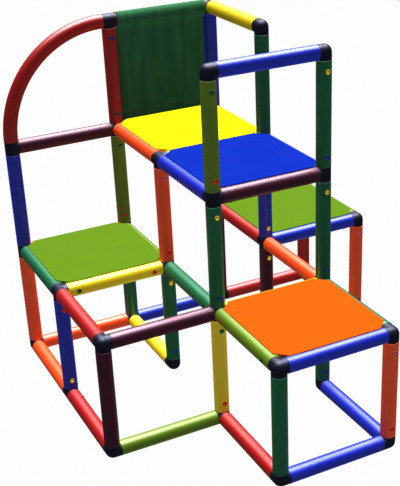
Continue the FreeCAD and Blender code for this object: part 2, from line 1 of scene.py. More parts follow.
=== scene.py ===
"""Dresses a modular tube climber: plastics, screws, a sewn canvas backrest, and a studio."""
import json
import math

import bmesh
import bpy
from mathutils import Matrix, Vector


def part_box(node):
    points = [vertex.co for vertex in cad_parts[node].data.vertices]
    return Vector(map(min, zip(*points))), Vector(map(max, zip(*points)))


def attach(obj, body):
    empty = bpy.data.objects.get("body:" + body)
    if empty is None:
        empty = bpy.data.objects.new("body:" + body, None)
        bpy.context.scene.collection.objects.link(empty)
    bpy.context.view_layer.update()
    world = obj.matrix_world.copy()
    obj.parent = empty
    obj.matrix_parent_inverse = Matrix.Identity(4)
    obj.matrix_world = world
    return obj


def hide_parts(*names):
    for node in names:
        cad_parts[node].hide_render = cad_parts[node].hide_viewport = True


bl_info = {
    "name": "Tube Climber",
    "version": (1, 0, 0),
    "blender": (4, 5, 0),
    "location": "View3D > Sidebar > Climber",
    "description": "Gives a modular tube climber its plastics, screws and sewn backrest, and sets its studio",
    "category": "Object",
}

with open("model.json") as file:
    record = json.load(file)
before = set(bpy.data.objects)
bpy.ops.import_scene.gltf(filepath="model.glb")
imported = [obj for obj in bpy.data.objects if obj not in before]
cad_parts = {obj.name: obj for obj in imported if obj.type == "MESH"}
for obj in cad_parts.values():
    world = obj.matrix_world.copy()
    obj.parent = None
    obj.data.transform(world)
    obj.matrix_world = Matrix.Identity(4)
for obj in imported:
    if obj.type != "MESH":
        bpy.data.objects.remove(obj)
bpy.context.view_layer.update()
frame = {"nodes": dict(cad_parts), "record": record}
BODY = "root"
MM = 0.001

RAILS_LOW, RAILS_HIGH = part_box("backrest_rails")
CLOTH_LOW, CLOTH_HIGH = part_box("backrest_cloth")
TUBE_RADIUS = (RAILS_HIGH.y - RAILS_LOW.y) / 2
RAIL_Y = (RAILS_LOW.y + RAILS_HIGH.y) / 2
LOWER_RAIL = RAILS_LOW.z + TUBE_RADIUS
UPPER_RAIL = RAILS_HIGH.z - TUBE_RADIUS
RAIL_X = (RAILS_LOW.x + RAILS_HIGH.x) / 2
CLOTH_HALF = (CLOTH_HIGH.x - CLOTH_LOW.x) / 2

# the colour of each platform's plastic
PLATFORMS = {
    "front_step_platform": "orange", "left_step_platform": "lime", "right_step_platform": "lime",
    "tower_front_platform": "blue", "tower_rear_platform": "yellow",
}


def linear(code):
    """An sRGB hex colour as linear red, green and blue."""
    channels = [int(code[n:n + 2], 16) / 255 for n in (1, 3, 5)]
    return tuple(c / 12.92 if c <= 0.04045 else ((c + 0.055) / 1.055) ** 2.4 for c in channels)


def shaded(colour, share):
    """A linear colour made darker or lighter, with an opaque alpha."""
    return (*(min(1.0, c * share) for c in colour[:3]), 1.0)


def colour_property(name, code, description):
    """A colour that a user may change, with its default given in hex."""
    return bpy.props.FloatVectorProperty(
        name=name, description=description, subtype="COLOR", size=3, min=0, max=1,
        default=linear(code))


def length_property(name, millimetres, description):
    """A size that a user may change, with its default given in millimetres."""
    return bpy.props.FloatProperty(
        name=name, description=description, default=millimetres * MM, min=0, unit="LENGTH",
        precision=4)


class ClimberTubeColours(bpy.types.PropertyGroup):
    red: colour_property("Red", "#A60607", "Colour of the red tubes and the arch")
    orange: colour_property("Orange", "#F05403", "Colour of the orange tubes")
    yellow: colour_property("Yellow", "#E4CF04", "Colour of the yellow tubes")
    lime: colour_property("Lime", "#668408", "Colour of the lime tubes")
    green: colour_property("Green", "#046B43", "Colour of the green tubes")
    blue: colour_property("Blue", "#0228B6", "Colour of the blue tubes")
    plum: colour_property("Plum", "#46042A", "Colour of the plum tubes")


class ClimberPlatformColours(bpy.types.PropertyGroup):
    lime: colour_property("Lime", "#5B771C", "Colour of the two low side platforms")
    orange: colour_property("Orange", "#B75606", "Colour of the front platform")
    blue: colour_property("Blue", "#052C8F", "Colour of the tower's front platform")
    yellow: colour_property("Yellow", "#C0BF06", "Colour of the tower's rear platform")


class ClimberScrews(bpy.types.PropertyGroup):
    head_diameter: length_property("Head diameter", 17, "Across a screw's head")
    red: colour_property("Red", "#B81E1E", "Colour of the red screws")
    yellow: colour_property("Yellow", "#D8BC20", "Colour of the yellow screws")
    green: colour_property("Green", "#14603C", "Colour of the green screws")
    blue: colour_property("Blue", "#1F2F96", "Colour of the blue screws")
    plum: colour_property("Plum", "#B2587A", "Colour of the plum screws")


class ClimberBackrest(bpy.types.PropertyGroup):
    canvas: colour_property("Canvas", "#437F5A", "Colour of the woven canvas")
    thread: colour_property("Thread", "#2C5A3A", "Colour of the sewing thread")
    thickness: length_property("Thickness", 0.6, "Thickness of the canvas")
    upper_seam: length_property("Upper seam", 40, "From the upper rail's axis down to the sleeve's seam")
    lower_seam: length_property("Lower seam", 54, "From the lower rail's axis up to the sleeve's seam")
    tail: length_property("Seam tail", 10, "Width of the canvas turned back past a seam")
    hem: length_property("Side hem", 25, "Width of each side hem")
    billow: length_property("Billow", 3, "How far the middle of the canvas stands back")
    fold_depth: length_property("Fold depth", 2.6, "Depth of the canvas's folds")
    stitch_pitch: length_property("Stitch pitch", 5, "From one stitch to the next")
    stitch_length: length_property("Stitch length", 3.9, "Length of a stitch")
    thread_width: length_property("Thread width", 0.9, "Thickness of the sewing thread")


class ClimberConnectors(bpy.types.PropertyGroup):
    navy: colour_property("Navy black", "#12142C", "Colour of the connectors")


class ClimberStage(bpy.types.PropertyGroup):
    floor: colour_property("Floor", "#1C1C1C", "Colour of the unlit acrylic of the light table")
    table_strength: bpy.props.FloatProperty(
        name="Table light", description="Strength of the lamps under the light table", default=0.955, min=0)
    key_strength: bpy.props.FloatProperty(
        name="Overhead light", description="Strength of the broad light overhead", default=9.0, min=0)
    fill_strength: bpy.props.FloatProperty(
        name="Fill light", description="Strength of the light from all round", default=0.1, min=0)


SETTINGS = {
    "climber_tubes": ClimberTubeColours, "climber_connectors": ClimberConnectors,
    "climber_platforms": ClimberPlatformColours, "climber_screws": ClimberScrews,
    "climber_backrest": ClimberBackrest, "climber_stage": ClimberStage,
}


# ---- materials ----


def add_node(tree, kind, inputs=None, **settings):
    """Adds a node, sets its settings, and sets each input or links it where it is given a socket."""
    node = tree.nodes.new(kind)
    for name, value in settings.items():
        setattr(node, name, value)
    for name, value in (inputs or {}).items():
        if isinstance(value, bpy.types.NodeSocket):
            tree.links.new(value, node.inputs[name])
        else:
            node.inputs[name].default_value = value
    return node


def new_material(name):
    """A material with an empty node tree but for its output."""
    material = bpy.data.materials.new(name)
    material.use_nodes = True
    material.node_tree.nodes.clear()
    return material, material.node_tree


def finish_material(tree, inputs):
    """Ends a material with a Principled shader."""
    shader = add_node(tree, "ShaderNodeBsdfPrincipled", inputs)
    add_node(tree, "ShaderNodeOutputMaterial", {"Surface": shader.outputs["BSDF"]})


def mottled(tree, place, colour, patch, spread):
    """A colour that wanders a little lighter and darker over patches of a real size."""
    cloud = add_node(tree, "ShaderNodeTexNoise", {
        "Vector": place, "Scale": 1 / patch, "Detail": 4.0, "Roughness": 0.6})
    tone = add_node(tree, "ShaderNodeMix", {
        0: cloud.outputs["Fac"], 6: shaded(colour, 1 - spread), 7: shaded(colour, 1 + spread)},
        data_type="RGBA")
    return tone.outputs[2]


def ranged(tree, source, low, high):
    """A noise's useful middle range, spread from low to high."""
    spread = add_node(tree, "ShaderNodeMapRange", {
        "Value": source, "From Min": 0.35, "From Max": 0.65, "To Min": low, "To Max": high})
    return spread.outputs["Result"]


def sheen_of(colour, white):
    """The tint of a reflection that a dyed plastic gives: its own hue, softened and paled with white."""
    brightest = max(colour)
    return (*(white + (1 - white) * math.sqrt(c / brightest) for c in colour), 1.0)


def extruded_polyethylene(name, colour):
    """Extruded polyethylene tube: softly glossy under a thin waxy skin, with faint orange peel and rubs."""
    material, tree = new_material(name)
    place = add_node(tree, "ShaderNodeTexCoord").outputs["Object"]
    rubbed = add_node(tree, "ShaderNodeTexNoise", {
        "Vector": place, "Scale": 1 / (35 * MM), "Detail": 5.0, "Roughness": 0.65})
    peel = add_node(tree, "ShaderNodeTexNoise", {"Vector": place, "Scale": 1 / (4 * MM), "Detail": 2.0})
    surface = add_node(tree, "ShaderNodeBump", {
        "Strength": 0.1, "Distance": 0.05 * MM, "Height": peel.outputs["Fac"]})
    finish_material(tree, {
        "Base Color": mottled(tree, place, colour, 60 * MM, 0.03),
        "Roughness": ranged(tree, rubbed.outputs["Fac"], 0.38, 0.43),
        "IOR": 1.54, "Specular IOR Level": 1.0, "Specular Tint": sheen_of(colour, 0.62),
        "Coat Weight": 0.8, "Coat Roughness": 0.45, "Coat IOR": 1.5,
        "Normal": surface.outputs["Normal"]})
    return material


def moulded_polypropylene(name, colour):
    """Moulded polypropylene connector: dense and dark, satin from a fine spark-eroded mould."""
    material, tree = new_material(name)
    place = add_node(tree, "ShaderNodeTexCoord").outputs["Object"]
    # the real mould grain is near 0.3 mm, drawn at 1.2 mm so that it shows
    grain = add_node(tree, "ShaderNodeTexNoise", {"Vector": place, "Scale": 1 / (1.2 * MM), "Detail": 2.0})
    rubbed = add_node(tree, "ShaderNodeTexNoise", {"Vector": place, "Scale": 1 / (18 * MM), "Detail": 4.0})
    surface = add_node(tree, "ShaderNodeBump", {
        "Strength": 0.3, "Distance": 0.1 * MM, "Height": grain.outputs["Fac"]})
    finish_material(tree, {
        "Base Color": mottled(tree, place, colour, 20 * MM, 0.15),
        "Roughness": ranged(tree, rubbed.outputs["Fac"], 0.46, 0.54),
        "IOR": 1.49, "Specular IOR Level": 1.0, "Specular Tint": sheen_of(colour, 0.6),
        "Normal": surface.outputs["Normal"]})
    return material


def pebbled_polypropylene(name, colour):
    """Moulded polypropylene platform: matt, with a pebble grain that keeps feet from slipping."""
    material, tree = new_material(name)
    place = add_node(tree, "ShaderNodeTexCoord").outputs["Object"]
    pebbles = add_node(tree, "ShaderNodeTexVoronoi", {"Vector": place, "Scale": 1 / (2.5 * MM)},
                       feature="SMOOTH_F1")
    trodden = add_node(tree, "ShaderNodeTexNoise", {
        "Vector": place, "Scale": 1 / (70 * MM), "Detail": 5.0, "Roughness": 0.6})
    surface = add_node(tree, "ShaderNodeBump", {
        "Strength": 0.35, "Distance": 0.25 * MM, "Height": pebbles.outputs["Distance"]},
        invert=True)
    finish_material(tree, {
        "Base Color": mottled(tree, place, colour, 90 * MM, 0.03),
        "Roughness": ranged(tree, trodden.outputs["Fac"], 0.56, 0.66),
        "IOR": 1.49, "Specular IOR Level": 0.04, "Normal": surface.outputs["Normal"]})
    return material


def moulded_nylon(name, colour):
    """Moulded nylon screw: smooth and a little glossy, with flow marks from its gate."""
    material, tree = new_material(name)
    place = add_node(tree, "ShaderNodeTexCoord").outputs["Object"]
    flow = add_node(tree, "ShaderNodeTexNoise", {
        "Vector": place, "Scale": 1 / (3 * MM), "Detail": 3.0, "Distortion": 1.5})
    finish_material(tree, {
        "Base Color": mottled(tree, place, colour, 6 * MM, 0.08),
        "Roughness": ranged(tree, flow.outputs["Fac"], 0.30, 0.42), "IOR": 1.53})
    return material


def woven_polyester(name, colour, thread):
    """Plain-woven polyester canvas: matt, threads over and under each other, with a low sheen, and painted
    shade along soft folds and between its threads.
    """
    material, tree = new_material(name)
    flat = add_node(tree, "ShaderNodeTexCoord").outputs["UV"]
    axes = add_node(tree, "ShaderNodeSeparateXYZ", {"Vector": flat})
    # warp and weft are half a wave each; the real thread is near 0.6 mm, drawn coarser so that it shows
    waves = []
    for axis in ("X", "Y"):
        turns = add_node(tree, "ShaderNodeMath", {0: axes.outputs[axis], 1: math.pi / thread},
                         operation="MULTIPLY")
        waves.append(add_node(tree, "ShaderNodeMath", {0: turns.outputs[0]}, operation="SINE"))
    crossing = add_node(tree, "ShaderNodeMath", {0: waves[0].outputs[0], 1: waves[1].outputs[0]},
                        operation="MULTIPLY")
    height = add_node(tree, "ShaderNodeMath", {0: crossing.outputs[0], 1: 0.5, 2: 0.5},
                      operation="MULTIPLY_ADD")
    slubs = add_node(tree, "ShaderNodeTexNoise", {"Vector": flat, "Scale": 1 / (12 * MM), "Detail": 5.0})
    # painted shade of soft folds: darker and lighter bands run up the canvas, near 30 mm apart and 300 mm
    # long
    drawn = add_node(tree, "ShaderNodeMapping", {
        "Vector": flat, "Scale": (1 / (30 * MM), 1 / (300 * MM), 1)})
    painted_fold_shade = add_node(tree, "ShaderNodeTexNoise", {
        "Vector": drawn.outputs["Vector"], "Scale": 1.0, "Detail": 2.0, "Distortion": 0.6})
    # the canvas colour, made darker and lighter along the folds as painted shade
    body = add_node(tree, "ShaderNodeMix", {
        0: ranged(tree, painted_fold_shade.outputs["Fac"], 0, 1), 6: shaded(colour, 0.86),
        7: shaded(colour, 1.12)}, data_type="RGBA")
    # painted shade: the hollows between the woven threads are darkened toward black
    painted_weave_shade = add_node(tree, "ShaderNodeMix", {
        0: 0.3, 6: body.outputs[2], 7: (0, 0, 0, 1)}, data_type="RGBA")
    woven = add_node(tree, "ShaderNodeMix", {
        0: height.outputs[0], 6: painted_weave_shade.outputs[2], 7: body.outputs[2]}, data_type="RGBA")
    surface = add_node(tree, "ShaderNodeBump", {
        "Strength": 0.6, "Distance": 0.3 * MM, "Height": height.outputs[0]})
    finish_material(tree, {
        "Base Color": woven.outputs[2], "Roughness": ranged(tree, slubs.outputs["Fac"], 0.78, 0.92),
        "IOR": 1.5, "Specular IOR Level": 0.15, "Sheen Weight": 0.02, "Sheen Roughness": 0.4,
        "Normal": surface.outputs["Normal"]})
    return material


def twisted_thread(name, colour):
    """Polyester sewing thread: fine, twisted and slightly shiny."""
    material, tree = new_material(name)
    place = add_node(tree, "ShaderNodeTexCoord").outputs["Object"]
    finish_material(tree, {
        "Base Color": mottled(tree, place, colour, 3 * MM, 0.2), "Roughness": 0.6, "IOR": 1.5})
    return material


def dress(node, material):
    """Gives a CAD node its material in every slot."""
    mesh = frame["nodes"][node].data
    mesh.materials.clear()
    mesh.materials.append(material)


def slot_of(node):
    """The record's material slot of a CAD node."""
    return next(p["material_slot"] for p in frame["record"]["subparts"] if p["node"] == node)


def nodes_of(prefix):
    """The CAD nodes whose material slot starts with a word, as (node, rest of the slot's name)."""
    found = []
    for node in sorted(frame["nodes"]):
        slot = slot_of(node)
        if slot.startswith(prefix):
            found.append((node, slot[len(prefix):]))
    return found


# ---- pieces ----


def add_piece(name, mesh, material):
    """A shown piece of the object that rides on the frame."""
    piece = bpy.data.objects.new(name, mesh)
    bpy.context.scene.collection.objects.link(piece)
    mesh.materials.clear()
    mesh.materials.append(material)
    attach(piece, BODY)
    return piece


def grown(carrier, tree, inputs, name):
    """The plain mesh that a Geometry Nodes tree grows on a carrier object, which is removed after."""
    modifier = carrier.modifiers.new("Grow", "NODES")
    modifier.node_group = tree
    for item in tree.interface.items_tree:
        if item.item_type == "SOCKET" and item.in_out == "INPUT" and item.name in inputs:
            modifier[item.identifier] = inputs[item.name]
    shown = carrier.evaluated_get(bpy.context.evaluated_depsgraph_get())
    mesh = bpy.data.meshes.new_from_object(shown)
    mesh.name = name
    bpy.data.objects.remove(carrier)
    return mesh


def new_tree(name, sockets):
    """A Geometry Nodes tree with a geometry input and output and further named inputs."""
    tree = bpy.data.node_groups.new(name, "GeometryNodeTree")
    tree.interface.new_socket("Geometry", in_out="INPUT", socket_type="NodeSocketGeometry")
    for label, kind in sockets.items():
        tree.interface.new_socket(label, in_out="INPUT", socket_type=kind)
    tree.interface.new_socket("Geometry", in_out="OUTPUT", socket_type="NodeSocketGeometry")
    return tree, add_node(tree, "NodeGroupInput").outputs


def end_tree(tree, instances, material):
    """Ends a tree as every tree here ends: instances made real, shaded smooth and given a material."""
    real = add_node(tree, "GeometryNodeRealizeInstances", {"Geometry": instances})
    smooth = add_node(tree, "GeometryNodeSetShadeSmooth", {"Geometry": real.outputs["Geometry"]})
    painted = add_node(tree, "GeometryNodeSetMaterial", {
        "Geometry": smooth.outputs["Geometry"], "Material": material})
    add_node(tree, "NodeGroupOutput", {"Geometry": painted.outputs["Geometry"]})


def loose_parts(mesh):
    """The separate solids of a mesh, each as a list of points."""
    form = bmesh.new()
    form.from_mesh(mesh)
    bmesh.ops.remove_doubles(form, verts=form.verts, dist=0.001 * MM)
    form.verts.ensure_lookup_table()
    seen, parts = set(), []
    for start in form.verts:
        if start.index in seen:
            continue
        seen.add(start.index)
        reached, part = [start], []
        while reached:
            vert = reached.pop()
            part.append(vert.co.copy())
            for edge in vert.link_edges:
                other = edge.other_vert(vert)
                if other.index not in seen:
                    seen.add(other.index)
                    reached.append(other)
        parts.append(part)
    form.free()
    return parts


def head_of(points):
    """Where a screw's head ends and which way it faces: the end that is widest across."""
    best = None
    for axis in range(3):
        for sign in (1, -1):
            far = max(sign * p[axis] for p in points)
            crown = [p for p in points if sign * p[axis] > far - 0.01 * MM]
            middle = sum(crown, Vector()) / len(crown)
            reach = max((p - middle).length for p in crown)
            if best is None or reach > best[0]:
                facing = Vector([sign if n == axis else 0 for n in range(3)])
                best = (reach, middle, facing)
    return best[1], best[2]


# the screw's outline from its tip to its crown, as (radius, height) in millimetres from the crown
SCREW_OUTLINE = (
    (0, -18.2), (4.2, -18.2), (5.9, -15.5), (5.9, -3.8), (8.3, -1.9), (8.5, -1.6), (8.5, -1.2),
    (8.3, -0.8), (7.6, -0.35), (6.6, -0.1), (5.5, 0.0), (4.9, -0.1))
SOCKET_CORNER = 4.6
SOCKET_DEPTH = 6.0
SCREW_SIDES = 24


def screw_pattern(name):
    """One screw with a domed head and a hexagon socket, its crown at the origin, 1 m across its head."""
    form = bmesh.new()
    scale = 1 / (2 * max(radius for radius, _ in SCREW_OUTLINE))
    rings = []
    for radius, height in SCREW_OUTLINE[1:]:
        rings.append([
            form.verts.new((radius * scale * math.cos(turn), radius * scale * math.sin(turn), height * scale))
            for turn in screw_turns()])
    for depth in (0.35, SOCKET_DEPTH):
        rings.append([
            form.verts.new((*(hexagon(turn) * scale), -depth * scale)) for turn in screw_turns()])
    for low, high in zip(rings, rings[1:]):
        for n in range(SCREW_SIDES):
            after = (n + 1) % SCREW_SIDES
            form.faces.new((low[n], low[after], high[after], high[n]))
    form.faces.new(rings[-1])
    form.faces.new(rings[0][::-1])
    bmesh.ops.recalc_face_normals(form, faces=form.faces)
    mesh = bpy.data.meshes.new(name)
    form.to_mesh(mesh)
    form.free()
    pattern = bpy.data.objects.new(name, mesh)
    return pattern


def screw_turns():
    """The angles of a screw's sides."""
    return [2 * math.pi * n / SCREW_SIDES for n in range(SCREW_SIDES)]


def hexagon(turn):
    """The point of the socket's hexagon at an angle."""
    sixth = math.pi / 3
    within = turn % sixth - sixth / 2
    reach = SOCKET_CORNER * math.cos(sixth / 2) / math.cos(within)
    return Vector((reach * math.cos(turn), reach * math.sin(turn)))


def screw_tree():
    """Sets a screw on each point, facing the way that the point's attribute says, each turned at random."""
    tree, given = new_tree("Screws on their seats", {
        "Screw": "NodeSocketObject", "Head Diameter": "NodeSocketFloat", "Seed": "NodeSocketInt",
        "Material": "NodeSocketMaterial"})
    pattern = add_node(tree, "GeometryNodeObjectInfo", {"Object": given["Screw"]})
    facing = add_node(tree, "GeometryNodeInputNamedAttribute", {"Name": "facing"},
                      data_type="FLOAT_VECTOR")
    upright = add_node(tree, "FunctionNodeAlignRotationToVector", {
        "Vector": facing.outputs["Attribute"]}, axis="Z")
    angle = add_node(tree, "FunctionNodeRandomValue", {
        "Min": (0, 0, 0), "Max": (0, 0, math.pi / 3), "Seed": given["Seed"]},
        data_type="FLOAT_VECTOR")
    spin = add_node(tree, "FunctionNodeEulerToRotation", {"Euler": angle.outputs["Value"]})
    turned = add_node(tree, "FunctionNodeRotateRotation", {
        "Rotation": upright.outputs["Rotation"], "Rotate By": spin.outputs["Rotation"]},
        rotation_space="LOCAL")
    set_out = add_node(tree, "GeometryNodeInstanceOnPoints", {
        "Points": given["Geometry"], "Instance": pattern.outputs["Geometry"],
        "Rotation": turned.outputs["Rotation"], "Scale": given["Head Diameter"]})
    end_tree(tree, set_out.outputs["Instances"], given["Material"])
    return tree


def points_facing(name, places):
    """An object of loose points, each with the way it faces as an attribute."""
    mesh = bpy.data.meshes.new(name)
    mesh.from_pydata([place for place, _ in places], [], [])
    facing = mesh.attributes.new("facing", "FLOAT_VECTOR", "POINT")
    for n, (_, way) in enumerate(places):
        facing.data[n].vector = way
    carrier = bpy.data.objects.new(name, mesh)
    bpy.context.scene.collection.objects.link(carrier)
    return carrier


# ---- backrest ----

ROUND_STEP = math.radians(7.5)
PANEL_ROWS = 72
LOWER_WRAP = 25.45 * MM
UPPER_WRAP = 26.0 * MM
LAYER_GAP = 0.9 * MM
NOTCH_HALF = 19 * MM
CLIP_OFFSET = 100 * MM
# soft upright folds: (metres across, middle as a share of the height, half width in metres, reach up
# and down as a share of the height, share of the fold depth)
FOLDS = (
    (-0.11, 0.80, 0.022, 0.22, 0.7), (-0.02, 0.62, 0.030, 0.30, -0.5), (0.07, 0.30, 0.020, 0.26, 0.9),
    (-0.07, 0.22, 0.024, 0.20, -0.6), (0.13, 0.55, 0.026, 0.34, 0.5), (0.02, 0.12, 0.016, 0.14, 0.6),
)
FOLD_SWAY = 12 * MM
# folds die out towards a seam over this share of the panel's height
SEAM_REACH = 0.12
PUCKER_DEPTH = 0.25 * MM
PUCKER_PITCH = 13 * MM
PUCKER_REACH = 0.03
# the share of its width that the panel loses at mid height
DRAW_IN = 0.003
HEM_COLUMNS = 6
# rows of stitches lie this far from a sleeve's seam
SEAM_ROWS = (2 * MM, 8 * MM)
STITCH_INSET = 3 * MM
HEM_ROW_GAP = 10 * MM
LINE_STEPS = 160
WEAVE_PITCH = 2 * MM


def seams(settings):
    """The heights of the lower and the upper sleeve's seam."""
    return LOWER_RAIL + settings.lower_seam, UPPER_RAIL - settings.upper_seam


def smooth(t):
    """An even step from 0 to 1."""
    t = min(1.0, max(0.0, t))
    return t * t * (3 - 2 * t)


def arc_points(height, radius, start, end):
    """Points (y, z) on a circle about a rail, by angle from straight up towards the back."""
    count = max(2, round(abs(end - start) / ROUND_STEP))
    turns = [start + (end - start) * n / count for n in range(count + 1)]
    return [(radius * math.sin(a), height + radius * math.cos(a)) for a in turns]


def straight_points(start, end, step):
    """Points (y, z) between two points, without the first and last."""
    gap = math.dist(start, end)
    count = max(1, round(gap / step))
    return [
        tuple(a + (b - a) * n / count for a, b in zip(start, end)) for n in range(1, count)]


def canvas_section(settings):
    """The canvas's path round both rails as rows of (y, z, kind), from one seam tail to the other."""
    low_seam, high_seam = seams(settings)
    back = math.acos(LOWER_WRAP / settings.lower_seam)
    front = math.pi - math.acos(UPPER_WRAP / settings.upper_seam)
    rows = [(LAYER_GAP, low_seam + settings.tail, "tail"), (LAYER_GAP, low_seam, "tail")]
    lower_round = arc_points(LOWER_RAIL, LOWER_WRAP, back, 2 * math.pi - math.radians(1))
    rows += [(*p, "sleeve") for p in straight_points(rows[-1][:2], lower_round[0], 5 * MM)]
    rows += [(*p, "wrap" if p[0] < 0 else "sleeve") for p in lower_round]
    rows += [(0.1 * MM, LOWER_RAIL + LOWER_WRAP + 0.5 * MM, "rise"),
             (0.25 * MM, LOWER_RAIL + LOWER_WRAP + 1.5 * MM, "rise")]
    rows += [(*p, "rise") for p in straight_points(rows[-1][:2], (0, low_seam), 5 * MM)]
    for n in range(PANEL_ROWS + 1):
        rows.append((0.0, low_seam + (high_seam - low_seam) * n / PANEL_ROWS, "panel"))
    upper_round = arc_points(UPPER_RAIL, UPPER_WRAP, -front, front)
    rows += [(*p, "sleeve") for p in straight_points((0, high_seam), upper_round[0], 5 * MM)]
    rows += [(*p, "sleeve") for p in upper_round]
    rows += [(*p, "sleeve") for p in straight_points(upper_round[-1], (LAYER_GAP, high_seam), 5 * MM)]
    rows += [(LAYER_GAP, high_seam, "tail"), (LAYER_GAP, high_seam - settings.tail, "tail")]
    return rows


def columns():
    """Places across the canvas, with columns on both sides of each clip's notch."""
    stops = (-CLOTH_HALF, -CLIP_OFFSET - NOTCH_HALF, -CLIP_OFFSET + NOTCH_HALF,
             CLIP_OFFSET - NOTCH_HALF, CLIP_OFFSET + NOTCH_HALF, CLOTH_HALF)
    out = [stops[0]]
    for low, high in zip(stops, stops[1:]):
        count = max(1, round((high - low) / (5 * MM)))
        out += [low + (high - low) * n / count for n in range(1, count + 1)]
    return out


def panel_depth(x, z, settings):
    """How far back the panel stands at a place: its billow, its folds and the puckers beside its seams."""
    low, high = seams(settings)
    t = (z - low) / (high - low)
    inside = smooth(min(t, 1 - t) / SEAM_REACH)
    across = math.cos(math.pi * x / 2.4 / CLOTH_HALF)
    depth = settings.billow * math.sin(math.pi * min(1, max(0, t))) * across
    for place, height, width, reach, share in FOLDS:
        lean = place + FOLD_SWAY * math.sin(3 * math.pi * t + 20 * place)
        ridge = math.exp(-(((x - lean) / width) ** 2) - ((t - height) / reach) ** 2)
        depth += share * settings.fold_depth * ridge
    # the left edge is drawn in below the upper seam, in one long slanting fold
    slant = -CLOTH_HALF + settings.hem * 1.1 * smooth((1 - t) / 0.5)
    crease = math.exp(-((x - slant) / (5 * MM)) ** 2)
    depth -= 0.9 * settings.fold_depth * crease * smooth((1 - t) / 0.1)
    ripple = math.sin(2 * math.pi * x / PUCKER_PITCH)
    pucker = PUCKER_DEPTH * ripple * math.exp(-min(t, 1 - t) / PUCKER_REACH)
    return depth * inside + pucker


def drawn_in(x, z, settings):
    """A place across the canvas, drawn in at mid height by its tension."""
    low, high = seams(settings)
    t = min(1, max(0, (z - low) / (high - low)))
    return x * (1 - DRAW_IN * math.sin(math.pi * t))


def sheet_mesh(name, rows, places, place_of, skip=None):
    """A sheet of quads through rows and places, with its flat lengths as its UV map."""
    form = bmesh.new()
    uv_layer = form.loops.layers.uv.new("flat")
    lengths = [0.0]
    for low, high in zip(rows, rows[1:]):
        lengths.append(lengths[-1] + math.dist(low[:2], high[:2]))
    grid = [[form.verts.new(place_of(x, row)) for x in places] for row in rows]
    for r in range(len(rows) - 1):
        for c in range(len(places) - 1):
            if skip and skip(rows[r], rows[r + 1], places[c], places[c + 1]):
                continue
            corners = ((r, c), (r, c + 1), (r + 1, c + 1), (r + 1, c))
            face = form.faces.new([grid[a][b] for a, b in corners])
            face.smooth = True
            for loop, (a, b) in zip(face.loops, corners):
                loop[uv_layer].uv = (places[b], lengths[a])
    bmesh.ops.delete(form, geom=[v for v in form.verts if not v.link_faces], context="VERTS")
    mesh = bpy.data.meshes.new(name)
    form.to_mesh(mesh)
    form.free()
    return mesh, lengths[-1]


def canvas_place(x, row, settings):
    """A canvas point in the row frame."""
    y, z, kind = row
    depth = panel_depth(x, z, settings) if kind == "panel" else 0.0
    across = drawn_in(x, z, settings) if kind in ("panel", "tail") else x
    return (RAIL_X + across, RAIL_Y + y + depth, z)


def in_notch(row, above, left, right):
    """Whether a quad lies in one of the cut-outs that clear the platform's clips."""
    if "wrap" not in (row[2], above[2]):
        return False
    middle = (left + right) / 2
    beside = abs(abs(middle) - CLIP_OFFSET) < NOTCH_HALF
    high = (row[1] + above[1]) / 2 > LOWER_RAIL - 21 * MM
    return beside and high


def thicken(piece, thickness):
    """Gives a sheet its thickness, half each way."""
    solid = piece.modifiers.new("Thickness", "SOLIDIFY")
    solid.thickness = thickness
    solid.offset = 0


def hem_mesh(name, side, settings):
    """The canvas turned back along one side edge, behind the panel."""
    low, high = seams(settings)
    low, high = low + settings.tail, high - settings.tail
    inner, outer = side * (CLOTH_HALF - settings.hem), side * CLOTH_HALF
    places = [inner + (outer - inner) * n / HEM_COLUMNS for n in range(HEM_COLUMNS + 1)]
    rows = [(LAYER_GAP, low + (high - low) * n / PANEL_ROWS, "panel") for n in range(PANEL_ROWS + 1)]
    return sheet_mesh(name, rows, places, lambda x, row: canvas_place(x, row, settings))[0]


def stitch_rows(settings):
    """Every row of stitches as a list of points on the canvas's front or back."""
    low, high = seams(settings)
    lift = settings.thickness / 2 + settings.thread_width * 0.2
    edge = CLOTH_HALF - STITCH_INSET
    across = [-edge + 2 * edge * n / LINE_STEPS for n in range(LINE_STEPS + 1)]
    foot, top = low + HEM_ROW_GAP, high - HEM_ROW_GAP
    up = [foot + (top - foot) * n / LINE_STEPS for n in range(LINE_STEPS + 1)]
    faces = (-lift, LAYER_GAP + lift)
    rows = []
    for z in (*(low + gap for gap in SEAM_ROWS), *(high - gap for gap in SEAM_ROWS)):
        rows += [[(x, offset, z) for x in across] for offset in faces]
    for side in (1, -1):
        x = side * (CLOTH_HALF - settings.hem + STITCH_INSET)
        rows += [[(x, offset, z) for z in up] for offset in faces]
    placed = []
    for row in rows:
        placed.append([
            (RAIL_X + drawn_in(x, z, settings), RAIL_Y + panel_depth(x, z, settings) + offset, z)
            for x, offset, z in row])
    return placed


def stitch_tree():
    """Lays stitches end to end along each line, a pitch apart."""
    tree, given = new_tree("Lock stitches", {
        "Stitch Pitch": "NodeSocketFloat", "Stitch Length": "NodeSocketFloat",
        "Thread Width": "NodeSocketFloat", "Material": "NodeSocketMaterial"})
    line = add_node(tree, "GeometryNodeMeshToCurve", {"Mesh": given["Geometry"]})
    spaced = add_node(tree, "GeometryNodeResampleCurve", {
        "Curve": line.outputs["Curve"], "Length": given["Stitch Pitch"]}, mode="LENGTH")
    along = add_node(tree, "GeometryNodeInputTangent")
    turned = add_node(tree, "FunctionNodeAlignRotationToVector", {
        "Vector": along.outputs["Tangent"]}, axis="Z")
    size = add_node(tree, "ShaderNodeCombineXYZ", {
        "X": given["Thread Width"], "Y": given["Thread Width"], "Z": given["Stitch Length"]})
    bead = add_node(tree, "GeometryNodeMeshUVSphere", {"Segments": 6, "Rings": 4, "Radius": 0.5})
    laid = add_node(tree, "GeometryNodeInstanceOnPoints", {
        "Points": spaced.outputs["Curve"], "Instance": bead.outputs["Mesh"],
        "Rotation": turned.outputs["Rotation"], "Scale": size.outputs["Vector"]})
    end_tree(tree, laid.outputs["Instances"], given["Material"])
    return tree


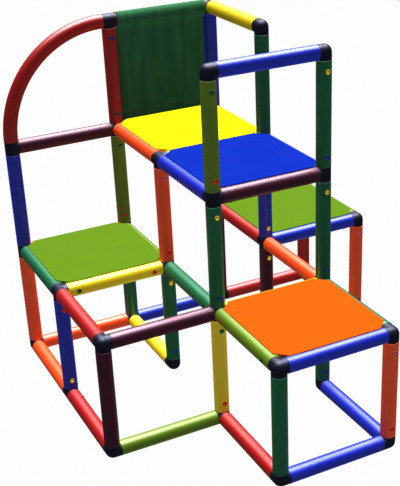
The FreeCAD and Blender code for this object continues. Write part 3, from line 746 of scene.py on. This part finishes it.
def polylines(name, rows):
    """An object of open lines, one through each row of points."""
    points, edges = [], []
    for row in rows:
        start = len(points)
        points += row
        edges += [(start + n, start + n + 1) for n in range(len(row) - 1)]
    mesh = bpy.data.meshes.new(name)
    mesh.from_pydata(points, edges, [])
    carrier = bpy.data.objects.new(name, mesh)
    bpy.context.scene.collection.objects.link(carrier)
    return carrier


# ---- operators ----


class CLIMBER_OT_tubes(bpy.types.Operator):
    """Give every straight tube and the arch its extruded polyethylene"""

    bl_idname = "climber.tubes"
    bl_label = "Tubes"

    def execute(self, context):
        colours = context.scene.climber_tubes
        plastics = {}
        for node, colour in nodes_of("tube_"):
            if colour not in plastics:
                plastics[colour] = extruded_polyethylene(
                    "Extruded polyethylene, " + colour, getattr(colours, colour))
            dress(node, plastics[colour])
        return {"FINISHED"}


class CLIMBER_OT_connectors(bpy.types.Operator):
    """Give the push-in connectors their moulded polypropylene"""

    bl_idname = "climber.connectors"
    bl_label = "Connectors"

    def execute(self, context):
        plastic = moulded_polypropylene(
            "Moulded polypropylene, navy black", context.scene.climber_connectors.navy)
        for node, _ in nodes_of("connector_"):
            dress(node, plastic)
        return {"FINISHED"}


class CLIMBER_OT_platforms(bpy.types.Operator):
    """Give the clip-on platforms their pebbled polypropylene"""

    bl_idname = "climber.platforms"
    bl_label = "Platforms"

    def execute(self, context):
        colours = context.scene.climber_platforms
        plastics = {
            colour: pebbled_polypropylene("Pebbled polypropylene, " + colour, getattr(colours, colour))
            for colour in sorted(set(PLATFORMS.values()))
        }
        for node, colour in PLATFORMS.items():
            dress(node, plastics[colour])
            # a deck throws no colour on the canvas and posts beside it
            frame["nodes"][node].visible_diffuse = False
            frame["nodes"][node].visible_glossy = False
        return {"FINISHED"}


class CLIMBER_OT_screws(bpy.types.Operator):
    """Set a domed screw with a hexagon socket on every seat"""

    bl_idname = "climber.screws"
    bl_label = "Screws"

    def execute(self, context):
        settings = context.scene.climber_screws
        pattern = screw_pattern("Screw pattern")
        tree = screw_tree()
        for seed, (node, colour) in enumerate(nodes_of("screw_")):
            places = [head_of(part) for part in loose_parts(frame["nodes"][node].data)]
            nylon = moulded_nylon("Moulded nylon, " + colour, getattr(settings, colour))
            mesh = grown(points_facing(node + "_seats", places), tree, {
                "Screw": pattern, "Head Diameter": settings.head_diameter, "Seed": seed,
                "Material": nylon}, "set_" + node)
            piece = add_piece("set_" + node, mesh, nylon)
            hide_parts(node)
        bpy.data.objects.remove(pattern)
        return {"FINISHED"}


class CLIMBER_OT_backrest(bpy.types.Operator):
    """Sew the canvas backrest round its two rails, with its hems"""

    bl_idname = "climber.backrest"
    bl_label = "Backrest"

    def execute(self, context):
        settings = context.scene.climber_backrest
        canvas = woven_polyester("Woven polyester canvas", settings.canvas, WEAVE_PITCH)
        mesh, length = sheet_mesh(
            "backrest_canvas", canvas_section(settings), columns(),
            lambda x, row: canvas_place(x, row, settings), in_notch)
        cloth = add_piece("backrest_canvas", mesh, canvas)
        thicken(cloth, settings.thickness)
        for side, word in ((-1, "left"), (1, "right")):
            name = "backrest_hem_" + word
            hem = add_piece(name, hem_mesh(name, side, settings), canvas)
            thicken(hem, settings.thickness)
        thread = twisted_thread("Twisted polyester thread", settings.thread)
        stitches = grown(polylines("seam_lines", stitch_rows(settings)), stitch_tree(), {
            "Stitch Pitch": settings.stitch_pitch, "Stitch Length": settings.stitch_length,
            "Thread Width": settings.thread_width, "Material": thread}, "backrest_stitches")
        add_piece("backrest_stitches", stitches, thread)
        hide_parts("backrest_cloth")
        return {"FINISHED"}


EYE = Vector((-1.5012, -2.9259, 2.0564))
AZIMUTH = math.radians(-26.403)
ELEVATION = math.radians(25.044)
ROLL = math.radians(-2.098)
LENS = 78.14
SHIFT = (-0.0617, 0.0144)
# the broad light stands above the climber, a little behind it and to its right
KEY_FROM = (0.18, 0.30, 0.94)
KEY_SPREAD = math.radians(60)
CONTRAST = 0.75
# half the side of the floor, in metres
FLOOR_REACH = 60


def place_camera():
    """A camera above the front left, turned to take in the whole climber."""
    data = bpy.data.cameras.new("Camera")
    data.sensor_width = 36
    data.lens = LENS
    data.shift_x, data.shift_y = SHIFT
    data.clip_end = 200
    camera = bpy.data.objects.new("Camera", data)
    bpy.context.scene.collection.objects.link(camera)
    back = Vector((
        math.sin(AZIMUTH) * math.cos(ELEVATION), -math.cos(AZIMUTH) * math.cos(ELEVATION),
        math.sin(ELEVATION)))
    across = Vector((0, 0, 1)).cross(back).normalized()
    up = back.cross(across)
    turned = Matrix.Rotation(ROLL, 3, back)
    axes = Matrix((turned @ across, turned @ up, back)).transposed()
    camera.matrix_world = Matrix.Translation(EYE) @ axes.to_4x4()
    bpy.context.scene.camera = camera


def opal_acrylic(name, colour, glow):
    """Opal acrylic of a light table, lit from under, so that it looks evenly pale."""
    material, tree = new_material(name)
    place = add_node(tree, "ShaderNodeTexCoord").outputs["Object"]
    finish_material(tree, {
        "Base Color": mottled(tree, place, colour, 400 * MM, 0.01), "Roughness": 0.9,
        "Specular IOR Level": 0.0, "Emission Color": (1, 1, 1, 1), "Emission Strength": glow})
    return material


class CLIMBER_OT_stage(bpy.types.Operator):
    """Set the studio: floor, broad overhead light, fill and camera"""

    bl_idname = "climber.stage"
    bl_label = "Studio"

    def execute(self, context):
        settings = context.scene.climber_stage
        mesh = bpy.data.meshes.new("floor")
        mesh.from_pydata(
            [(x * FLOOR_REACH, y * FLOOR_REACH, 0) for x, y in ((-1, -1), (1, -1), (1, 1), (-1, 1))], [],
            [(0, 1, 2, 3)])
        mesh.materials.append(opal_acrylic("Opal acrylic", settings.floor, settings.table_strength))
        floor = bpy.data.objects.new("floor", mesh)
        context.scene.collection.objects.link(floor)
        # the pale floor isn't mirrored in the upright tubes, which would grey their colours
        floor.visible_glossy = False
        sun = bpy.data.lights.new("Overhead", "SUN")
        sun.energy = settings.key_strength
        sun.angle = KEY_SPREAD
        # every level tube gets its highlight, under a deck too
        sun.use_shadow = False
        key = bpy.data.objects.new("Overhead", sun)
        key.rotation_euler = Vector(KEY_FROM).to_track_quat("Z", "Y").to_euler()
        context.scene.collection.objects.link(key)
        world = bpy.data.worlds.new("Studio")
        world.use_nodes = True
        background = world.node_tree.nodes["Background"]
        background.inputs["Color"].default_value = (1, 1, 1, 1)
        background.inputs["Strength"].default_value = settings.fill_strength
        context.scene.world = world
        context.scene.view_settings.view_transform = "Standard"
        context.scene.view_settings.look = "None"
        context.scene.view_settings.gamma = CONTRAST
        place_camera()
        return {"FINISHED"}


OPERATORS = (
    CLIMBER_OT_stage, CLIMBER_OT_tubes, CLIMBER_OT_connectors, CLIMBER_OT_platforms,
    CLIMBER_OT_screws, CLIMBER_OT_backrest)


class CLIMBER_PT_panel(bpy.types.Panel):
    """The climber's operators and settings in the sidebar"""

    bl_label = "Tube Climber"
    bl_idname = "CLIMBER_PT_panel"
    bl_space_type = "VIEW_3D"
    bl_region_type = "UI"
    bl_category = "Climber"

    def draw(self, context):
        for operator in OPERATORS:
            self.layout.operator(operator.bl_idname)
        for name, group in SETTINGS.items():
            box = self.layout.box()
            for prop in group.__annotations__:
                box.prop(getattr(context.scene, name), prop)


CLASSES = (*SETTINGS.values(), *OPERATORS, CLIMBER_PT_panel)


def register():
    """Adds the classes, and each group of settings to the scene."""
    for cls in CLASSES:
        bpy.utils.register_class(cls)
    for name, group in SETTINGS.items():
        setattr(bpy.types.Scene, name, bpy.props.PointerProperty(type=group))


def unregister():
    """Takes the settings and classes away again."""
    for name in SETTINGS:
        delattr(bpy.types.Scene, name)
    for cls in reversed(CLASSES):
        bpy.utils.unregister_class(cls)


def main():
    """Builds the studio and every piece."""
    register()
    bpy.ops.climber.stage()
    bpy.ops.climber.tubes()
    bpy.ops.climber.connectors()
    bpy.ops.climber.platforms()
    bpy.ops.climber.screws()
    bpy.ops.climber.backrest()


if __name__ == "__main__":
    main()
